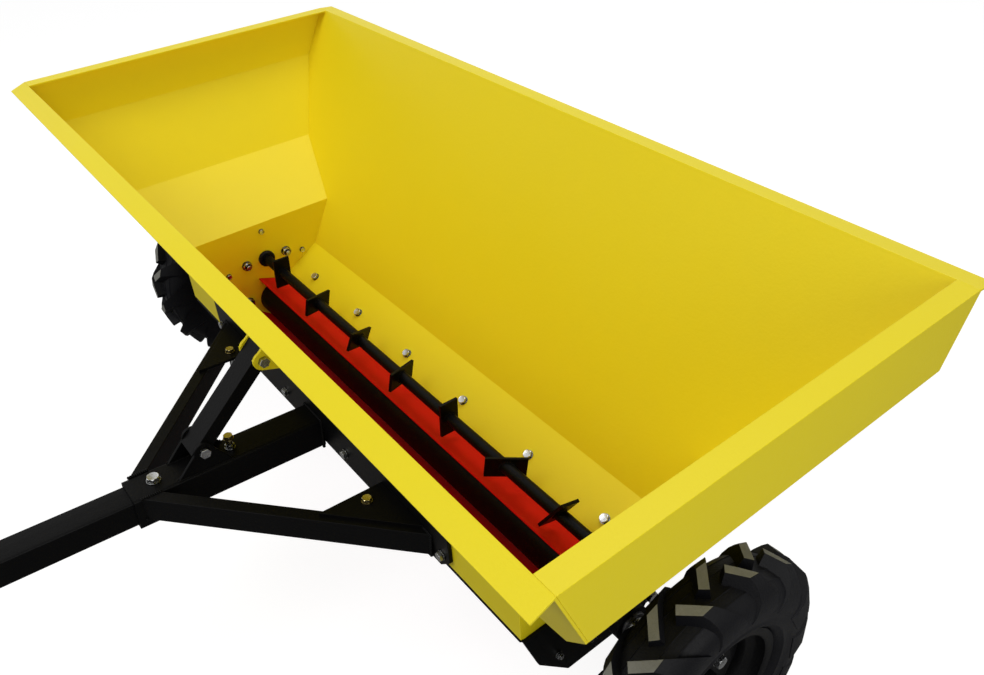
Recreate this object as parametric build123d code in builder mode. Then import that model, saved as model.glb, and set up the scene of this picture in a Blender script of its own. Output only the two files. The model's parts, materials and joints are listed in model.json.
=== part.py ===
from build123d import *
from math import asin, atan2, cos, degrees, hypot, radians, sin, tan
import os

os.makedirs("parts", exist_ok=True)

# Towed sand spreader. X is across, Y runs to the back, the drawbar points to -Y and Z is up.
# The ground is Z = 0 and the origin is under the middle of the length.
# The left side, seen by someone looking forward, is +X.

# Hopper. Drops are measured down from the rim.
sheet = 3                    # hopper sheet
opening_length = 1440        # between the end lips
opening_width = 620          # between the front and rear walls at the rim
lip_width = 28
flange_width = 29
rear_flange_fall = 5         # in degrees
skirt_drop = 91
slope_drop = 234             # foot of the steep slope of an end wall
slope_in = 86                # how far that slope comes in
trough_in = 195              # from the opening's end to the face of an end plate
foot_drop = 322              # foot of the shallow slope of an end wall
rear_slope = 0.52            # run for each millimetre of drop
front_slope = 0.38
fold_drop = 411              # fold of the rear wall
apron_slope = 0.62           # drop for each millimetre of run of the plate below that fold
apron_run = 82
strip_in = 129               # from the front wall's rim back to the face of the front strip
strip_foot = 427
plate_foot = 556             # foot of the end plates
plate_tab = 12               # end plate behind the rear wall

# Roller and its feed plates
axle_back = -18              # from the middle of the opening
axle_drop = 498              # which also sets how high the rim stands
roller_radius = 34
roller_wall = 4
axle_radius = 15
feed_gap = 8                 # between the roller and the floor plate
floor_hem = 30
floor_end = 6                # lip of the floor plate, in front of the axle's middle
plate_toe = 48               # front of the end plates' foot, in front of the axle's middle
lip_cover = 64               # run of the lip plate over the roller
lip_angle = 21
lip_hem = 60
gate_thick = 3
side_gap = 2                 # beside each end of the floor, lip and roller

# Agitator
agitator_drop = 403
shaft_radius = 10
paddle_length = 66
paddle_width = 34
paddle_thick = 5
paddle_end = 99              # from an end plate to the first paddle
shaft_tail = 6               # shaft beyond a bearing

# Bearings, each a flanged housing on two bolts
bearing_height = 33
bearing_lip = 11
agitator_bolts = 90
axle_bolts = 117
bearing_ear = 13             # round each bolt
bearing_bore_gap = 0.05

# Frame
frame_plate = 6
rail_width = 45
rail_plate = 8
drawbar_angle = 4            # rise of the drawbar towards the front, in degrees
drawbar_size = 45
drawbar_wall = 4
sleeve_size = 55
sleeve_gap = 0.3
sleeve_length = 300
sleeve_drop = 386            # top of the sleeve where it meets the cross member
cross_length = 760
cross_rise = 2               # from the top of the cross member to the bend of the wall
cross_foot = 433
cross_corner = 24
lock_bolt = 262
lock_bolt_radius = 6.5
drawbar_overlap = 150
brace_width = 20
brace_height = 40
brace_wall = 3
brace_inset = 56             # from the end of the cross member to the middle of the brace's foot
brace_start = 25             # how far behind the sleeve's mouth a brace starts
gusset_width = 112
gusset_plate = 5
gusset_bolt_in = 21
gusset_bolt_out = 38
strut_width = 40
strut_depth = 22
strut_wall = 3
foot_pin = (188, 34)         # lower pin, as (forward along the sleeve, up)
head_pin = (31, 231)         # upper pin, as (ahead of the front wall, drop)
ear_plate = 5
ear_round = 15
ear_seat = 32                # half the height of an ear on the wall
cheek_front = 232
cheek_back = 148
strut_end = 14
pin_radius = 5

# Front end of the drawbar
nose_reach = 1230            # front of the coupler, from the middle of the opening
coupler_plate = 4
ball_radius = 25
ball_gap = 0.6
coupler_head = 95            # from the end of the drawbar to the nose
coupler_nose = 34            # from the middle of the ball to the nose
coupler_grip = 90
ball_drop = 8                # middle of the ball below the middle of the drawbar
leg_gap = 85                 # from the coupler back to the middle of the leg
leg_radius = 17
leg_wall = 3
clamp_height = 70
clamp_wall = 5
leg_spare = 60               # leg above the drawbar
foot_radius = 45
foot_plate = 6

# Chain cover
cover_low = 66
cover_high = 46
cover_depth = 56
cover_sheet = 2

# Wheels
wheel_radius = 202           # to the tips of the lugs
wheel_gap = 35               # from the chain cover to the tyre
tyre_width = 92
tyre_sides = 36
bead_lift = 2                # where the sidewall starts, above the rim's flange
rim_radius = 101.6
rim_flange = 11
rim_width = 64
rim_sheet = 3
hub_radius = 26
hub_flange = 55
hub_plate = 5
hub_length = 84
hub_bore_gap = 0.05
axle_tail = 12               # axle beyond a hub

# Lugs: bars that slant back from the middle of the tread and turn down over the shoulder
lug_count = 15               # on each side of the tread
lug_height = 16
lug_width = 12.8             # across the worn top
lug_draft = 10
lug_slant = 43               # from straight across, in degrees
lug_turn = 15.6              # middle of the first lug, back from the top of the wheel
lug_overlap = 3              # how far the inner end passes the middle of the tread
lug_root_height = 0.313      # share of the tyre's height above the bead

rim_height = wheel_radius + axle_drop
half_length = opening_length / 2 + lip_width
length_back = opening_width / 2 + flange_width * cos(radians(rear_flange_fall))
hopper_y = (nose_reach - length_back) / 2
axle_y = hopper_y + axle_back
axle_z = rim_height - axle_drop
agitator_z = rim_height - agitator_drop
trough_half = opening_length / 2 - trough_in
strip_reach = opening_width / 2 - strip_in
strip_y = hopper_y - strip_reach
carrier_face = trough_half + frame_plate
cover_face = carrier_face + bearing_lip
wheel_reach = cover_face + cover_depth + wheel_gap + tyre_width / 2
brace_reach = cross_length / 2 - brace_inset
gusset_side = brace_reach - gusset_width
leg_reach = nose_reach - coupler_head - coupler_grip - leg_gap


def at_drop(drop):
    return rim_height - drop


def front_y(drop):
    return hopper_y - opening_width / 2 + front_slope * drop


def rear_y(drop):
    return hopper_y + opening_width / 2 - rear_slope * drop


def finish(builder, name):
    builder.part.label = name
    export_step(builder.part, "parts/" + name + ".step")


def finish_pair(builder, name):
    with BuildPart() as other:
        mirror(builder.part, about=Plane.YZ)
    finish(builder, name + "_left")
    finish(other, name + "_right")


# End profile of the hopper, outer face, from the lip down: distance across and drop
end_profile = [
    (half_length, 0),
    (half_length, skirt_drop),
    (half_length - slope_in, slope_drop),
    (trough_half, foot_drop),
]

# Front wall: flange, slope and the upright strip at its foot
strip_top_drop = (strip_in + sheet) / front_slope
front_fall = atan2(front_slope, 1)
with BuildPart() as wall_front:
    with BuildSketch(Plane.YZ):
        with BuildLine():
            Polyline(
                (front_y(0) - flange_width * cos(front_fall), rim_height - flange_width * sin(front_fall)),
                (front_y(0), rim_height),
                (strip_y + sheet, at_drop(strip_top_drop)),
                (strip_y + sheet, at_drop(strip_foot)),
            )
            offset(amount=sheet, side=Side.RIGHT, kind=Kind.INTERSECTION)
        make_face()
    extrude(amount=half_length, both=True)
    with BuildSketch(Plane.XZ.offset(-hopper_y)):
        with BuildLine():
            Polyline(
                (0, rim_height + sheet),
                (half_length, rim_height + sheet),
                *[(x, at_drop(drop)) for x, drop in end_profile],
                (trough_half, at_drop(strip_foot)),
                (0, at_drop(strip_foot)),
                close=True,
            )
        make_face()
        mirror(about=Plane.YZ)
    extrude(amount=opening_width, mode=Mode.INTERSECT)
finish(wall_front, "hopper_front")

# Rear wall: flange, slope and the apron plate below the fold, which stands between the end plates
rear_fall = radians(rear_flange_fall)
fold_y = rear_y(fold_drop)
apron_y = fold_y - apron_run
apron_drop = fold_drop + apron_slope * apron_run
with BuildPart() as wall_rear:
    with BuildSketch(Plane.YZ):
        with BuildLine():
            Polyline(
                (rear_y(0) + flange_width * cos(rear_fall), rim_height - flange_width * sin(rear_fall)),
                (rear_y(0), rim_height),
                (fold_y, at_drop(fold_drop)),
                (apron_y, at_drop(apron_drop)),
            )
            offset(amount=sheet, side=Side.LEFT, kind=Kind.INTERSECTION)
        make_face()
    extrude(amount=half_length, both=True)
    with BuildSketch(Plane.XZ.offset(-hopper_y)):
        with BuildLine():
            Polyline(
                (0, rim_height + sheet),
                (half_length, rim_height + sheet),
                *[(x, at_drop(drop)) for x, drop in end_profile],
                (trough_half - sheet, at_drop(foot_drop)),
                (trough_half - sheet, at_drop(plate_foot)),
                (0, at_drop(plate_foot)),
                close=True,
            )
        make_face()
        mirror(about=Plane.YZ)
    extrude(amount=-opening_width, mode=Mode.INTERSECT)
finish(wall_rear, "hopper_rear")

# End walls: lip, skirt, two slopes and the upright end plate that carries the bearings
tab_y = rear_y(foot_drop) + plate_tab
with BuildPart() as wall_end:
    with BuildSketch(Plane.XZ):
        with BuildLine():
            Polyline(
                (opening_length / 2, rim_height),
                *[(x, at_drop(drop)) for x, drop in end_profile],
                (trough_half, at_drop(plate_foot)),
            )
            offset(amount=sheet, side=Side.RIGHT, kind=Kind.INTERSECTION)
        make_face()
    extrude(amount=nose_reach, both=True)
    with BuildSketch(Plane.YZ):
        with BuildLine():
            Polyline(
                (front_y(0), rim_height),
                (strip_y + sheet, at_drop(strip_top_drop)),
                (strip_y + sheet, at_drop(strip_foot)),
                (axle_y - plate_toe, at_drop(plate_foot)),
                (axle_y + axle_bolts / 2, at_drop(plate_foot)),
                (tab_y, at_drop(fold_drop)),
                (tab_y, at_drop(foot_drop)),
                (rear_y(foot_drop), at_drop(foot_drop)),
                (rear_y(0), rim_height),
                close=True,
            )
        make_face()
    extrude(amount=half_length, both=True, mode=Mode.INTERSECT)
    with BuildSketch(Plane.YZ.offset(trough_half + sheet)):
        with Locations((axle_y, axle_z)):
            Circle(axle_radius + sheet)
        with Locations((axle_y, agitator_z)):
            Circle(shaft_radius + sheet)
    extrude(amount=-3 * sheet, mode=Mode.SUBTRACT)
finish_pair(wall_end, "hopper_end")

# Floor plate: a hem inside the strip, then a slope that passes under the roller
feed_half = trough_half - sheet - side_gap
floor_run = strip_reach - sheet + axle_back - floor_end
floor_lip_y = strip_y + sheet + floor_run
axle_run = axle_y - strip_y - sheet
axle_fall = axle_drop - strip_foot
roller_reach = roller_radius + feed_gap + gate_thick
floor_fall = atan2(axle_fall, axle_run) + asin(roller_reach / hypot(axle_run, axle_fall))
floor_lip_z = at_drop(strip_foot) - floor_run * tan(floor_fall)
with BuildPart() as floor_plate:
    with BuildSketch(Plane.YZ):
        with BuildLine():
            Polyline(
                (strip_y + sheet, at_drop(strip_foot - floor_hem)),
                (strip_y + sheet, at_drop(strip_foot)),
                (floor_lip_y, floor_lip_z),
            )
            offset(amount=gate_thick, side=Side.LEFT, kind=Kind.INTERSECTION)
        make_face()
    extrude(amount=feed_half, both=True)
finish(floor_plate, "floor_plate")

# Lip plate: a flange bolted under the apron, bent up over the roller
apron_angle = atan2(apron_slope, 1)
bend_y = apron_y + sheet * sin(apron_angle)
bend_z = at_drop(apron_drop) - sheet * cos(apron_angle)
with BuildPart() as lip_plate:
    with BuildSketch(Plane.YZ):
        with BuildLine():
            Polyline(
                (bend_y + lip_hem * cos(apron_angle), bend_z + lip_hem * sin(apron_angle)),
                (bend_y, bend_z),
                (bend_y - lip_cover * cos(radians(lip_angle)), bend_z + lip_cover * sin(radians(lip_angle))),
            )
            offset(amount=gate_thick, side=Side.LEFT, kind=Kind.INTERSECTION)
        make_face()
    extrude(amount=feed_half, both=True)
finish(lip_plate, "lip_plate")

# Front rail: a flat bar under the head of the floor plate, between the end plates
rail_y = strip_y + rail_plate * sin(floor_fall)
rail_z = at_drop(strip_foot) - (rail_y - strip_y - sheet) * tan(floor_fall)
with BuildPart() as front_rail:
    with BuildSketch(Plane.YZ):
        with BuildLine():
            Polyline(
                (rail_y, rail_z),
                (rail_y + rail_width * cos(floor_fall), rail_z - rail_width * sin(floor_fall)),
            )
            offset(amount=rail_plate, side=Side.RIGHT)
        make_face()
    extrude(amount=trough_half - sheet, both=True)
finish(front_rail, "front_rail")

# Side carriers: plates outside the end plates that hold the bearings, as (from the axle, drop)
carrier_outline = [
    (-strip_reach - axle_back, strip_foot),
    (-110, strip_foot),
    (-110, 352),
    (-88, 330),
    (86, 330),
    (106, 352),
    (106, 470),
    (58, plate_foot),
    (-88, plate_foot),
    (-139, axle_drop),
]
with BuildPart() as carrier:
    with BuildSketch(Plane.YZ.offset(trough_half)):
        with BuildLine():
            Polyline(*[(axle_y + y, at_drop(drop)) for y, drop in carrier_outline], close=True)
        make_face()
        with Locations((axle_y, axle_z)):
            Circle(axle_radius + sheet, mode=Mode.SUBTRACT)
        with Locations((axle_y, agitator_z)):
            Circle(shaft_radius + sheet, mode=Mode.SUBTRACT)
    extrude(amount=frame_plate)
finish_pair(carrier, "side_carrier")

# Flanged bearing housings: name, height of the shaft, shaft radius, bolt spacing, tilt of the bolts
housings = [
    ("axle_bearing", axle_z, axle_radius, axle_bolts, -9),
    ("agitator_bearing", agitator_z, shaft_radius, agitator_bolts, 0),
]
for name, height, radius, bolts, tilt in housings:
    with BuildPart() as housing:
        with BuildSketch(Plane.YZ.offset(carrier_face)) as flange:
            with Locations(Location((axle_y, height), tilt)):
                Circle(radius * 2)
                with GridLocations(bolts, 0, 2, 1):
                    Circle(bearing_ear)
            make_hull()
        extrude(amount=bearing_lip)
        with BuildSketch(Plane.YZ.offset(carrier_face)):
            with Locations((axle_y, height)):
                Circle(radius * 1.9)
        extrude(amount=bearing_height)
        with BuildSketch(Plane.YZ.offset(carrier_face)):
            with Locations((axle_y, height)):
                Circle(radius + bearing_bore_gap)
        extrude(amount=bearing_height, mode=Mode.SUBTRACT)
    finish_pair(housing, name)

# Cross member: an upright plate bolted to the face of the strip
cross_y = strip_y - frame_plate
cross_top = strip_top_drop + cross_rise
with BuildPart() as cross_member:
    with BuildSketch(Plane.XZ.offset(-cross_y)):
        with BuildLine():
            Polyline(
                (0, at_drop(cross_top)),
                (cross_length / 2, at_drop(cross_top)),
                (cross_length / 2, at_drop(cross_foot - cross_corner)),
                (cross_length / 2 - cross_corner, at_drop(cross_foot)),
                (0, at_drop(cross_foot)),
                close=True,
            )
        make_face()
        mirror(about=Plane.YZ)
    extrude(amount=-frame_plate)
finish(cross_member, "cross_member")

# The drawbar and its sleeve rise forward. Places on them are measured forward from the cross
# member along the top of the sleeve, and up from that top.
pitch = radians(drawbar_angle)
bar_forward = Vector(0, -cos(pitch), sin(pitch))
bar_up = Vector(0, sin(pitch), cos(pitch))


def on_bar(forward, up=0, across=0):
    return Vector(across, cross_y, at_drop(sleeve_drop)) + bar_forward * forward + bar_up * up


def bar_section(forward):
    return Plane(origin=on_bar(forward), x_dir=(1, 0, 0), z_dir=bar_forward)


bar_plan = Plane(origin=on_bar(0), x_dir=(1, 0, 0), z_dir=-bar_up)
bar_middle = -sleeve_size / 2
cross_face = Plane(origin=(0, cross_y, 0), x_dir=(1, 0, 0), z_dir=(0, -1, 0))
sleeve_wall = (sleeve_size - drawbar_size) / 2 - sleeve_gap

with BuildPart() as sleeve:
    with BuildSketch(bar_section(-sleeve_size)):
        with Locations((0, bar_middle)):
            RectangleRounded(sleeve_size, sleeve_size, sleeve_wall)
            Rectangle(sleeve_size - 2 * sleeve_wall, sleeve_size - 2 * sleeve_wall, mode=Mode.SUBTRACT)
    extrude(amount=sleeve_size + sleeve_length)
    split(bisect_by=cross_face, keep=Keep.TOP)
    with BuildSketch(bar_plan):
        with Locations((0, lock_bolt)):
            Circle(lock_bolt_radius)
    extrude(amount=sleeve_size, mode=Mode.SUBTRACT)
finish(sleeve, "drawbar_sleeve")

nose_forward = (nose_reach - strip_reach - frame_plate) / cos(pitch)
bar_end = nose_forward - coupler_head
with BuildPart() as drawbar:
    with BuildSketch(bar_section(lock_bolt - drawbar_overlap)):
        with Locations((0, bar_middle)):
            RectangleRounded(drawbar_size, drawbar_size, drawbar_wall)
            Rectangle(drawbar_size - 2 * drawbar_wall, drawbar_size - 2 * drawbar_wall, mode=Mode.SUBTRACT)
    extrude(amount=bar_end - lock_bolt + drawbar_overlap)
    with BuildSketch(bar_plan):
        with Locations((0, lock_bolt)):
            Circle(lock_bolt_radius)
    extrude(amount=sleeve_size, mode=Mode.SUBTRACT)
finish(drawbar, "drawbar")

# Braces: tubes in the plane of the sleeve's top, from the sleeve's side to the cross member
brace_side = sleeve_size / 2
brace_top = sleeve_length - brace_start
brace_angle = degrees(atan2(brace_reach - brace_side, brace_top))
brace_length = hypot(brace_reach - brace_side, brace_top) + 3 * brace_width
brace_spot = Location(((brace_reach + brace_side) / 2, brace_top / 2), brace_angle)
with BuildPart() as brace:
    with BuildSketch(bar_plan):
        with Locations(brace_spot):
            Rectangle(brace_width, brace_length)
    extrude(amount=brace_height)
    with BuildSketch(bar_plan.offset(brace_wall)):
        with Locations(brace_spot):
            Rectangle(brace_width - 2 * brace_wall, brace_length)
    extrude(amount=brace_height - 2 * brace_wall, mode=Mode.SUBTRACT)
    split(bisect_by=cross_face, keep=Keep.TOP)
    split(bisect_by=Plane.YZ.offset(brace_side), keep=Keep.TOP)
finish_pair(brace, "brace")

# Gussets: three-cornered plates on the braces, against the cross member
brace_slope = brace_top / (brace_reach - brace_side)
with BuildPart() as gusset:
    with BuildSketch(bar_plan):
        with BuildLine():
            Polyline(
                (gusset_side, 0),
                (gusset_side, (brace_reach - gusset_side) * brace_slope),
                (brace_reach, 0),
                close=True,
            )
        make_face()
        with Locations((gusset_side + gusset_bolt_in, gusset_bolt_out)):
            Circle(pin_radius, mode=Mode.SUBTRACT)
    extrude(amount=-gusset_plate)
    split(bisect_by=cross_face, keep=Keep.TOP)
finish_pair(gusset, "gusset")

# Ears on the front wall, cheeks on the sleeve and the strut pinned between them
head_ahead, head_drop = head_pin
head_y = front_y(head_drop) - head_ahead
head_z = at_drop(head_drop)
foot_y = on_bar(*foot_pin).Y
foot_z = on_bar(*foot_pin).Z
wall_out = sheet / cos(front_fall)
ear_inside = strut_width / 2 + sleeve_gap
pin_fit = 0.3
with BuildPart() as ears:
    with BuildSketch(Plane.YZ.offset(ear_inside)):
        with BuildLine():
            Polyline(
                (front_y(head_drop - ear_seat) - wall_out, at_drop(head_drop - ear_seat)),
                (front_y(head_drop + ear_seat) - wall_out, at_drop(head_drop + ear_seat)),
                (head_y - ear_round * sin(front_fall), head_z - ear_round),
                (head_y - ear_round, head_z + ear_round * sin(front_fall)),
                close=True,
            )
        make_face()
        with Locations((head_y, head_z)):
            Circle(ear_round)
            Circle(pin_radius + pin_fit, mode=Mode.SUBTRACT)
    extrude(amount=ear_plate)
    mirror(about=Plane.YZ)
finish(ears, "hopper_ears")

with BuildPart() as cheeks:
    with BuildSketch(Plane.YZ.offset(ear_inside)):
        with BuildLine():
            Polyline(
                *[(on_bar(end).Y, on_bar(end).Z) for end in (cheek_front, cheek_back)],
                (foot_y + ear_round, foot_z),
                (foot_y, foot_z + ear_round),
                (foot_y - ear_round, foot_z),
                close=True,
            )
        make_face()
        with Locations((foot_y, foot_z)):
            Circle(ear_round)
            Circle(pin_radius + pin_fit, mode=Mode.SUBTRACT)
    extrude(amount=ear_plate)
    mirror(about=Plane.YZ)
finish(cheeks, "sleeve_cheeks")

strut_length = hypot(head_y - foot_y, head_z - foot_z)
strut_way = Vector(0, head_y - foot_y, head_z - foot_z).normalized()
strut_plane = Plane(origin=(0, foot_y, foot_z), x_dir=(1, 0, 0), z_dir=strut_way)
with BuildPart() as strut:
    with BuildSketch(strut_plane.offset(-strut_end)):
        Rectangle(strut_width, strut_depth)
        Rectangle(strut_width - 2 * strut_wall, strut_depth - 2 * strut_wall, mode=Mode.SUBTRACT)
    extrude(amount=strut_length + 2 * strut_end)
    with BuildSketch(Plane.YZ.offset(strut_width)):
        with Locations((foot_y, foot_z), (head_y, head_z)):
            Circle(pin_radius + pin_fit)
    extrude(amount=-2 * strut_width, mode=Mode.SUBTRACT)
finish(strut, "strut")

pin_half = ear_inside + ear_plate
with BuildPart() as pins:
    with BuildSketch(Plane.YZ.offset(-pin_half)):
        with Locations((foot_y, foot_z), (head_y, head_z)):
            Circle(pin_radius)
    extrude(amount=2 * pin_half)
    for side in (1, -1):
        with BuildSketch(Plane.YZ.offset(side * pin_half)):
            with Locations((foot_y, foot_z), (head_y, head_z)):
                RegularPolygon(pin_radius * 1.7, 6)
        extrude(amount=side * pin_radius * 1.4)
finish(pins, "strut_pins")

# Coupler: a pressed socket for a towing ball, on the end of the drawbar
ball_forward = nose_forward - coupler_nose
head_radius = ball_radius + ball_gap + coupler_plate
coupler_size = drawbar_size + 2 * coupler_plate
with BuildPart() as coupler:
    with BuildSketch(bar_section(bar_end - coupler_grip)):
        with Locations((0, bar_middle)):
            Rectangle(coupler_size, coupler_size)
            Rectangle(drawbar_size, drawbar_size, mode=Mode.SUBTRACT)
    extrude(amount=coupler_grip)
    with BuildSketch(bar_section(bar_end)):
        with Locations((0, bar_middle)):
            Rectangle(coupler_size, coupler_size)
    with BuildSketch(bar_section(ball_forward)):
        with Locations((0, bar_middle)):
            Rectangle(2 * ball_radius, coupler_size)
    loft()
    with BuildSketch(bar_plan.offset(-bar_middle - coupler_size / 2)):
        with Locations((0, ball_forward)):
            Circle(head_radius)
    extrude(amount=coupler_size)
    ball_centre = on_bar(ball_forward, bar_middle - ball_drop)
    socket_radius = ball_radius + ball_gap
    with BuildSketch(Plane(origin=ball_centre, x_dir=(1, 0, 0), z_dir=bar_forward)):
        with BuildLine():
            Polyline(
                (0, socket_radius),
                (socket_radius / 2, socket_radius),
                (socket_radius, 0),
                (socket_radius, -coupler_size),
                (0, -coupler_size),
                close=True,
            )
        make_face()
    revolve(axis=Axis(ball_centre, bar_up), mode=Mode.SUBTRACT)
finish(coupler, "coupler")

# Parking leg: an upright tube on a round foot, held in a clamp on the side of the drawbar
leg_y = hopper_y - leg_reach
leg_x = drawbar_size / 2 + clamp_wall + sleeve_gap + leg_radius
leg_height = on_bar((leg_reach - strip_reach) / cos(pitch)).Z
with BuildPart() as leg_clamp:
    with BuildSketch(Plane.XY.offset(leg_height - sleeve_size / 2 - clamp_height / 2)):
        with Locations((leg_x, leg_y)):
            Circle(leg_radius + sleeve_gap + clamp_wall)
        with Locations(((drawbar_size / 2 + leg_x) / 2, leg_y)):
            Rectangle(leg_x - drawbar_size / 2, 2 * leg_radius)
        with Locations((leg_x, leg_y)):
            Circle(leg_radius + sleeve_gap, mode=Mode.SUBTRACT)
    extrude(amount=clamp_height)
finish(leg_clamp, "leg_clamp")

with BuildPart() as parking_leg:
    with BuildSketch(Plane.XY):
        with Locations((leg_x, leg_y)):
            Circle(foot_radius)
    extrude(amount=foot_plate)
    with BuildSketch(Plane.XY.offset(foot_plate)):
        with Locations((leg_x, leg_y)):
            Circle(leg_radius)
            Circle(leg_radius - leg_wall, mode=Mode.SUBTRACT)
    extrude(amount=leg_height + leg_spare - foot_plate)
finish(parking_leg, "parking_leg")

# Chain cover on the right: an open-backed case over the chain from the axle to the agitator
with BuildPart() as chain_cover:
    for inset, mode in ((0, Mode.ADD), (cover_sheet, Mode.SUBTRACT)):
        with BuildSketch(Plane.YZ.offset(-cover_face)):
            with Locations((axle_y, axle_z)):
                Circle(cover_low - inset)
            with Locations((axle_y, agitator_z)):
                Circle(cover_high - inset)
            make_hull()
        extrude(amount=inset - cover_depth, mode=mode)
    with BuildSketch(Plane.YZ.offset(-cover_face)):
        with Locations((axle_y, axle_z)):
            Circle(axle_radius + sheet)
    extrude(amount=-cover_depth, mode=Mode.SUBTRACT)
finish(chain_cover, "chain_cover")

# Axle and roller
axle_half = wheel_reach + hub_length / 2 + axle_tail
with BuildPart() as axle:
    with BuildSketch(Plane.YZ.offset(-axle_half)):
        with Locations((axle_y, axle_z)):
            Circle(axle_radius)
    extrude(amount=2 * axle_half)
finish(axle, "axle")

with BuildPart() as roller:
    with BuildSketch(Plane.YZ.offset(-feed_half)):
        with Locations((axle_y, axle_z)):
            Circle(roller_radius)
            Circle(roller_radius - roller_wall, mode=Mode.SUBTRACT)
    extrude(amount=2 * feed_half)
    for side in (1, -1):
        with BuildSketch(Plane.YZ.offset(side * feed_half)):
            with Locations((axle_y, axle_z)):
                Circle(roller_radius)
                Circle(axle_radius, mode=Mode.SUBTRACT)
        extrude(amount=-side * 2 * roller_wall)
finish(roller, "roller")

# Wheels: a hub, a pressed rim and a tyre, made on the left and mirrored apart from the hub's bore
wheel_axis = Axis((0, axle_y, axle_z), (1, 0, 0))
hub_start = wheel_reach - hub_length / 2
for name, side, bore_gap in [("left", 1, 0), ("right", -1, hub_bore_gap)]:
    with BuildPart() as hub:
        with BuildSketch(Plane.YZ.offset(side * hub_start)):
            with Locations((axle_y, axle_z)):
                Circle(hub_radius)
        extrude(amount=side * hub_length)
        with BuildSketch(Plane.YZ.offset(side * wheel_reach)):
            with Locations((axle_y, axle_z)):
                Circle(hub_flange)
        extrude(amount=side * hub_plate)
        with BuildSketch(Plane.YZ.offset(side * hub_start)):
            with Locations((axle_y, axle_z)):
                Circle(axle_radius + bore_gap)
        extrude(amount=side * hub_length, mode=Mode.SUBTRACT)
    finish(hub, "hub_" + name)

# Rim, as (from the middle of the tyre, radius)
rim_half = rim_width / 2
rim_profile = [
    (-rim_half, rim_radius + rim_flange),
    (-rim_half, rim_radius),
    (rim_half, rim_radius),
    (rim_half, rim_radius + rim_flange),
]
with BuildPart() as rim:
    with BuildSketch(Plane.XY.offset(axle_z)):
        with BuildLine():
            Polyline(*[(wheel_reach + x, axle_y + radius) for x, radius in rim_profile])
            offset(amount=rim_sheet, side=Side.RIGHT, kind=Kind.INTERSECTION)
        make_face()
        disc_height = rim_radius - rim_sheet - hub_radius
        with Locations((wheel_reach + hub_plate + rim_sheet / 2, axle_y + hub_radius + disc_height / 2)):
            Rectangle(rim_sheet, disc_height)
    revolve(axis=wheel_axis)
finish_pair(rim, "rim")

# Tyre: a carcass, and lugs cut to their own worn outline. Both are rings of a many-sided shape,
# given for one half as (from the middle of the tyre, share of the height above the bead)
tyre_half = tyre_width / 2
tread_radius = wheel_radius - lug_height
bead_radius = rim_radius + rim_flange + bead_lift
carcass_profile = [
    (rim_half, 0),
    (tyre_half - 1.5, 0.42),
    (tyre_half - 5, 0.73),
    (tyre_half - 15, 0.9),
    (tyre_half - 34, 1),
]
worn_profile = [
    (tyre_half - 8, 0.06),
    (tyre_half, 0.405),
    (tyre_half - 3, 0.668),
    (tyre_half - 13, 0.874),
    (tyre_half - 28, 1),
]
rings = []
for profile, outer in ((carcass_profile, tread_radius), (worn_profile, wheel_radius)):
    with BuildPart() as ring:
        for x, height in [(-x, height) for x, height in profile] + profile[::-1]:
            with BuildSketch(Plane.YZ.offset(wheel_reach + x)):
                with Locations((axle_y, axle_z)):
                    radius = bead_radius + height * (outer - bead_radius)
                    RegularPolygon(radius, tyre_sides, rotation=-90)
        loft(ruled=True)
    rings.append(ring.part)
carcass, worn_shape = rings

lug_reach = tyre_half / 2    # middle of a lug, from the middle of the tyre
lug_root = bead_radius + lug_root_height * (wheel_radius - bead_radius)
root_half = lug_width / 2 + (wheel_radius - lug_root) * tan(radians(lug_draft))
lug_start = (lug_reach + lug_overlap) / cos(radians(lug_slant))
with BuildPart() as tyre:
    for side, slant, first in ((1, lug_slant, 0), (-1, 180 - lug_slant, 0.5)):
        for step in range(lug_count):
            turn = lug_turn + (first + step) * 360 / lug_count
            spot = Location((wheel_reach, axle_y, axle_z), (-turn, 0, 0))
            spot *= Location((side * lug_reach, 0, 0), (0, 0, slant))
            spot *= Location((-lug_start, 0, 0), (0, 90, 0))
            with BuildSketch(Plane(spot)):
                with BuildLine():
                    Polyline(
                        (-wheel_radius, -lug_width / 2),
                        (-wheel_radius, lug_width / 2),
                        (-lug_root, root_half),
                        (-lug_root, -root_half),
                        close=True,
                    )
                make_face()
    extrude(amount=2 * lug_start)
    add(worn_shape, mode=Mode.INTERSECT)
    add(carcass)
    with BuildSketch(Plane.YZ.offset(wheel_reach - rim_half)):
        with Locations((axle_y, axle_z)):
            Circle(rim_radius)
    extrude(amount=rim_width, mode=Mode.SUBTRACT)
finish_pair(tyre, "tyre")

# Agitator: a shaft with flat paddles welded through it, each turned its own way
shaft_half = carrier_face + bearing_height + shaft_tail
with BuildPart() as agitator_shaft:
    with BuildSketch(Plane.YZ.offset(-shaft_half)):
        with Locations((axle_y, agitator_z)):
            Circle(shaft_radius)
    extrude(amount=2 * shaft_half)
finish(agitator_shaft, "agitator_shaft")

# Paddles, one row each: place across in pitches, turn about the shaft, tilt away from square across it
paddle_pitch = (trough_half - paddle_end) / 3
paddles = [
    (-3.15, 178, -4),
    (-2.1, 76, 22),
    (-1, 64, 27),
    (0, 77, 23),
    (1, 178, -2),
    (2.05, 80, -33),
    (2.9, 163, -30),
]
with BuildPart() as agitator_paddles:
    for place, turn, tilt in paddles:
        spot = Location((place * paddle_pitch, axle_y, agitator_z), (turn, 0, 0))
        with Locations(spot * Location((0, 0, 0), (0, tilt, 0))):
            Box(paddle_thick, paddle_width, paddle_length)
    with BuildSketch(Plane.YZ.offset(-shaft_half)):
        with Locations((axle_y, agitator_z)):
            Circle(shaft_radius)
    extrude(amount=2 * shaft_half, mode=Mode.SUBTRACT)
finish(agitator_paddles, "agitator_paddles")
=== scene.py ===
import json
import math
import random

import bpy
from mathutils import Matrix, Vector


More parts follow.
